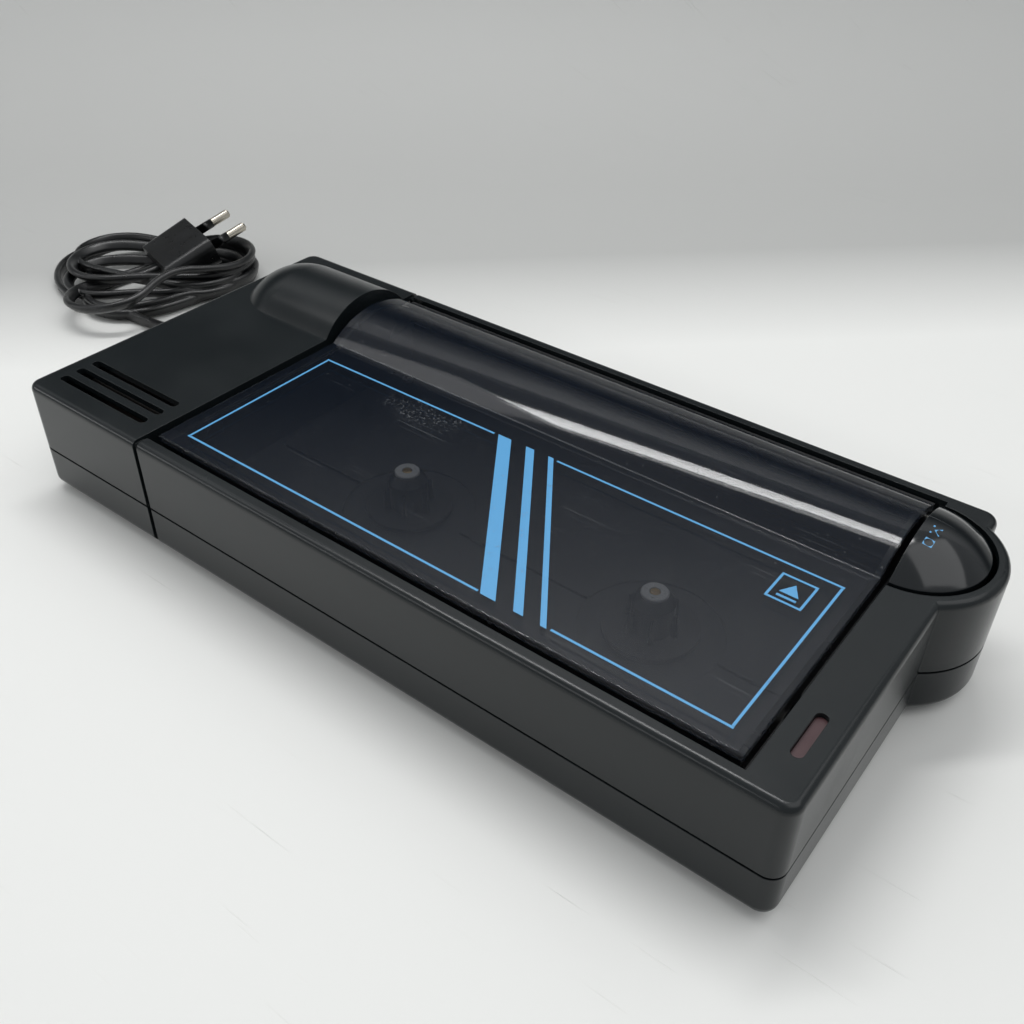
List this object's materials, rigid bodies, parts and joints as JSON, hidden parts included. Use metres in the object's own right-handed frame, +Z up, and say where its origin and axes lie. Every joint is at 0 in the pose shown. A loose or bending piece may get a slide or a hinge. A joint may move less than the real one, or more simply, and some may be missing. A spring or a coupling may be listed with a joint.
{
  "type": "video cassette rewinder",
  "caption": "Mains-powered video cassette rewinder with a smoked hinged lid, a crowned stop and eject button on a round corner, reel spindles and a folded two-pin lead",
  "frame": {"origin": "centre of the case's bounding box in plan, on the surface that the feet stand on", "axes": "+X from the power block to the stop button, along the case; +Y from the front edge to the lid's hinge; +Z up"},
  "size_m": [0.4499, 0.1661, 0.052],
  "materials": {
    "case_top": "fine satin texture, charcoal",
    "case_bottom": "satin charcoal",
    "lid_smoke": "glossy navy black, smoked",
    "lid_black": "matt black",
    "button_gloss": "glossy charcoal",
    "rubber_black": "matt black rubber",
    "screw_steel": "zinc plated",
    "deck_black": "satin black",
    "spindle_black": "satin dark grey acetal",
    "cap_grey": "light grey",
    "axle_brass": "turned",
    "gear_white": "natural acetal",
    "felt": "pressed felt",
    "belt_rubber": "satin black rubber",
    "spring_steel": "bright spring wire",
    "motor_steel": "zinc plated can",
    "slider_white": "natural acetal",
    "switch_black": "moulded black",
    "core_iron": "varnished laminations",
    "winding_tape": "yellow insulating tape over copper",
    "bracket_steel": "zinc plated",
    "board_brown": "paper laminate",
    "capacitor_blue": "shrink sleeve",
    "diode_black": "moulded black",
    "fuse_glass": "clear tube with plated caps",
    "clip_brass": "plated spring clip",
    "lens_red": "dull red, translucent",
    "led_red": "red",
    "cord_black": "satin black sheath",
    "pin_nickel": "nickel plated with black sleeves"
  },
  "bodies": {
    "case": {"upper_case": "case_top", "lower_case": "case_bottom", "rubber_feet": "rubber_black", "case_screws": "screw_steel", "cassette_tray": "deck_black", "tray_screws": "screw_steel", "hinge_pins": "spring_steel", "lid_spring": "spring_steel", "spindle_axles": "axle_brass", "takeup_felt_washer": "felt", "idler_axle": "spring_steel", "drive_belt": "belt_rubber", "motor_can": "motor_steel", "motor_mount": "bracket_steel", "motor_screws": "screw_steel", "button_spring": "spring_steel", "start_switch": "switch_black", "transformer_core": "core_iron", "transformer_winding": "winding_tape", "transformer_bracket": "bracket_steel", "transformer_screws": "screw_steel", "power_board": "board_brown", "board_screws": "screw_steel", "smoothing_capacitor": "capacitor_blue", "rectifier_diodes": "diode_black", "fuse": "fuse_glass", "fuse_clips": "clip_brass", "indicator_lens": "lens_red", "indicator_board": "board_brown", "indicator_screws": "screw_steel", "indicator_led": "led_red", "strain_relief": "cord_black", "mains_cord": "cord_black", "cord_loop": "cord_black", "cord_hank": "cord_black", "plug_body": "cord_black", "plug_pins": "pin_nickel"},
    "lid": {"lid_window": "lid_smoke", "lid_frame": "lid_black"},
    "button": {"stop_eject_button": "button_gloss"},
    "latch": {"latch_slider": "slider_white"},
    "supply": {"supply_spindle": "spindle_black", "supply_gear": "gear_white", "supply_cap": "cap_grey"},
    "takeup": {"takeup_spindle": "spindle_black", "takeup_cap": "cap_grey"},
    "idler": {"idler_wheel": "gear_white"},
    "rotor": {"motor_shaft": "spring_steel", "motor_pulley": "axle_brass"}
  },
  "joints": [
    {"name": "lid_hinge", "type": "hinge", "parent": "case", "child": "lid", "pos_m": [0, 0.0562, 0.0376], "axis": [-1, 0, 0], "range_deg": [0, 35]},
    {"name": "stop_eject_press", "type": "slide", "parent": "case", "child": "button", "axis": [0, 0, -1], "range_m": [0, 0.003], "stiffness_N_per_m": 400, "springref_m": -0.004, "deforming": ["button_spring"]},
    {"name": "latch_slide", "type": "slide", "parent": "case", "child": "latch", "axis": [0, 1, 0], "range_m": [0, 0.003]},
    {"name": "supply_spin", "type": "hinge", "parent": "case", "child": "supply", "pos_m": [-0.0255, -0.01, 0], "axis": [0, 0, 1], "continuous": true},
    {"name": "takeup_spin", "type": "hinge", "parent": "case", "child": "takeup", "pos_m": [0.0665, -0.01, 0], "axis": [0, 0, 1], "continuous": true},
    {"name": "idler_spin", "type": "hinge", "parent": "case", "child": "idler", "pos_m": [-0.04831, 0.00162, 0], "axis": [0, 0, 1], "continuous": true},
    {"name": "motor_spin", "type": "hinge", "parent": "case", "child": "rotor", "pos_m": [-0.118, 0.03725, 0], "axis": [0, 0, 1], "continuous": true}
  ],
  "couplings": [
    {"joint": "latch_slide", "follows": "stop_eject_press", "ratio": 1},
    {"joint": "idler_spin", "follows": "supply_spin", "ratio": -3},
    {"joint": "motor_spin", "follows": "supply_spin", "ratio": -12}
  ]
}
